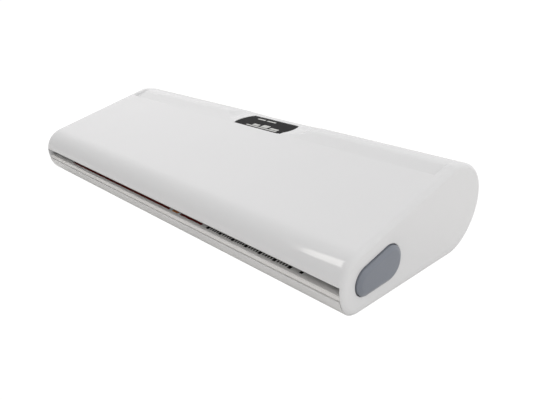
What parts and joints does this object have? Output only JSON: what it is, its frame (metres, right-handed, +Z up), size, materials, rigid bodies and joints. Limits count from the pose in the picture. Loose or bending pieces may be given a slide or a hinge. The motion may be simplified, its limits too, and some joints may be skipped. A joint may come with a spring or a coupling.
{
  "type": "pouch laminator",
  "caption": "Slim desktop pouch laminator: sloping white casing with a full-width front feed slot, roller and heater mechanism inside, and a push button on one end.",
  "frame": {"origin": "centre of the bounding box's bottom, on the surface that the rubber feet stand on", "axes": "+X along the machine towards the end with the power button, +Y from the feed slot towards the exit slot, +Z up"},
  "size_m": [0.3524, 0.1448, 0.0648],
  "materials": {
    "white_gloss": "glossy white moulded ABS",
    "white_matt": "satin white moulded ABS",
    "button_grey": "satin blue-grey moulded plastic",
    "badge_dark": "smooth near-black panel with a pale pictogram",
    "black_plastic": "heat-resistant black plastic",
    "zinc_steel": "zinc-plated sheet steel",
    "shaft_steel": "ground steel",
    "silicone": "brick-red silicone rubber",
    "heater_aluminium": "plain extruded aluminium",
    "mica": "mica strip heater",
    "bush_bronze": "sintered bronze",
    "gear_acetal": "natural acetal",
    "circuit_board": "green circuit board",
    "black_rubber": "black rubber"
  },
  "bodies": {
    "root": {"upper_housing": "white_gloss", "lower_housing": "white_gloss", "infeed_table": "white_matt", "badge_panel": "badge_dark", "infeed_upper_guide": "black_plastic", "exit_lower_guide": "black_plastic", "exit_upper_guide": "black_plastic", "thermostat": "black_plastic", "switch_body": "black_plastic", "left_side_frame": "zinc_steel", "right_side_frame": "zinc_steel", "front_tie_bar": "zinc_steel", "rear_tie_bar": "zinc_steel", "motor_bracket": "zinc_steel", "drive_motor": "zinc_steel", "idler_stud": "zinc_steel", "screw_front_left": "zinc_steel", "screw_front_right": "zinc_steel", "screw_rear_left": "zinc_steel", "screw_rear_right": "zinc_steel", "feed_spring_left": "shaft_steel", "feed_spring_right": "shaft_steel", "press_spring_left": "shaft_steel", "press_spring_right": "shaft_steel", "lower_heater_shoe": "heater_aluminium", "upper_heater_shoe": "heater_aluminium", "lower_heating_element": "mica", "upper_heating_element": "mica", "feed_bush_left": "bush_bronze", "feed_bush_right": "bush_bronze", "press_bush_left": "bush_bronze", "press_bush_right": "bush_bronze", "control_board": "circuit_board", "indicator_board": "circuit_board", "cord_gland": "black_rubber", "foot_front_left": "black_rubber", "foot_front_right": "black_rubber", "foot_rear_left": "black_rubber", "foot_rear_right": "black_rubber"},
    "lower_feed_roller": {"lower_feed_shaft": "shaft_steel", "lower_feed_sleeve": "silicone", "lower_feed_gear": "gear_acetal"},
    "upper_feed_roller": {"upper_feed_shaft": "shaft_steel", "upper_feed_sleeve": "silicone", "upper_feed_gear": "gear_acetal"},
    "lower_press_roller": {"lower_press_shaft": "shaft_steel", "lower_press_sleeve": "silicone", "lower_press_gear": "gear_acetal"},
    "upper_press_roller": {"upper_press_shaft": "shaft_steel", "upper_press_sleeve": "silicone", "upper_press_gear": "gear_acetal"},
    "feed_carriage": {"feed_block_left": "black_plastic", "feed_block_right": "black_plastic"},
    "press_carriage": {"press_block_left": "black_plastic", "press_block_right": "black_plastic"},
    "idler": {"idler_gear": "gear_acetal"},
    "motor_rotor": {"motor_shaft": "shaft_steel", "motor_pinion": "gear_acetal"},
    "button": {"power_button": "button_grey"}
  },
  "joints": [
    {"name": "lower_press_spin", "type": "hinge", "parent": "root", "child": "lower_press_roller", "pos_m": [0, 0.01955, 0.015], "axis": [1, 0, 0], "continuous": true},
    {"name": "upper_press_lift", "type": "slide", "parent": "root", "child": "press_carriage", "axis": [0, 0, 1], "range_m": [0, 0.0008], "stiffness_N_per_m": 6000, "springref_m": -0.003, "deforming": ["press_spring_left", "press_spring_right"]},
    {"name": "upper_press_spin", "type": "hinge", "parent": "press_carriage", "child": "upper_press_roller", "pos_m": [0, 0.01955, 0.033], "axis": [1, 0, 0], "continuous": true},
    {"name": "lower_feed_spin", "type": "hinge", "parent": "root", "child": "lower_feed_roller", "pos_m": [0, -0.01445, 0.015], "axis": [1, 0, 0], "continuous": true},
    {"name": "upper_feed_lift", "type": "slide", "parent": "root", "child": "feed_carriage", "axis": [0, 0, 1], "range_m": [0, 0.0008], "stiffness_N_per_m": 6000, "springref_m": -0.003, "deforming": ["feed_spring_left", "feed_spring_right"]},
    {"name": "upper_feed_spin", "type": "hinge", "parent": "feed_carriage", "child": "upper_feed_roller", "pos_m": [0, -0.01445, 0.033], "axis": [1, 0, 0], "continuous": true},
    {"name": "idler_spin", "type": "hinge", "parent": "root", "child": "idler", "pos_m": [0, 0.00255, 0.015], "axis": [1, 0, 0], "continuous": true},
    {"name": "motor_spin", "type": "hinge", "parent": "root", "child": "motor_rotor", "pos_m": [0, 0.03365, 0.02013], "axis": [1, 0, 0], "continuous": true},
    {"name": "power_button_press", "type": "slide", "parent": "root", "child": "button", "axis": [-1, 0, 0], "range_m": [0, 0.003], "stiffness_N_per_m": 500, "springref_m": -0.002}
  ],
  "couplings": [
    {"joint": "upper_press_spin", "follows": "lower_press_spin", "ratio": -1},
    {"joint": "idler_spin", "follows": "lower_press_spin", "ratio": -1.125},
    {"joint": "lower_feed_spin", "follows": "lower_press_spin", "ratio": 1},
    {"joint": "upper_feed_spin", "follows": "lower_press_spin", "ratio": -1},
    {"joint": "motor_spin", "follows": "lower_press_spin", "ratio": -1.5}
  ]
}
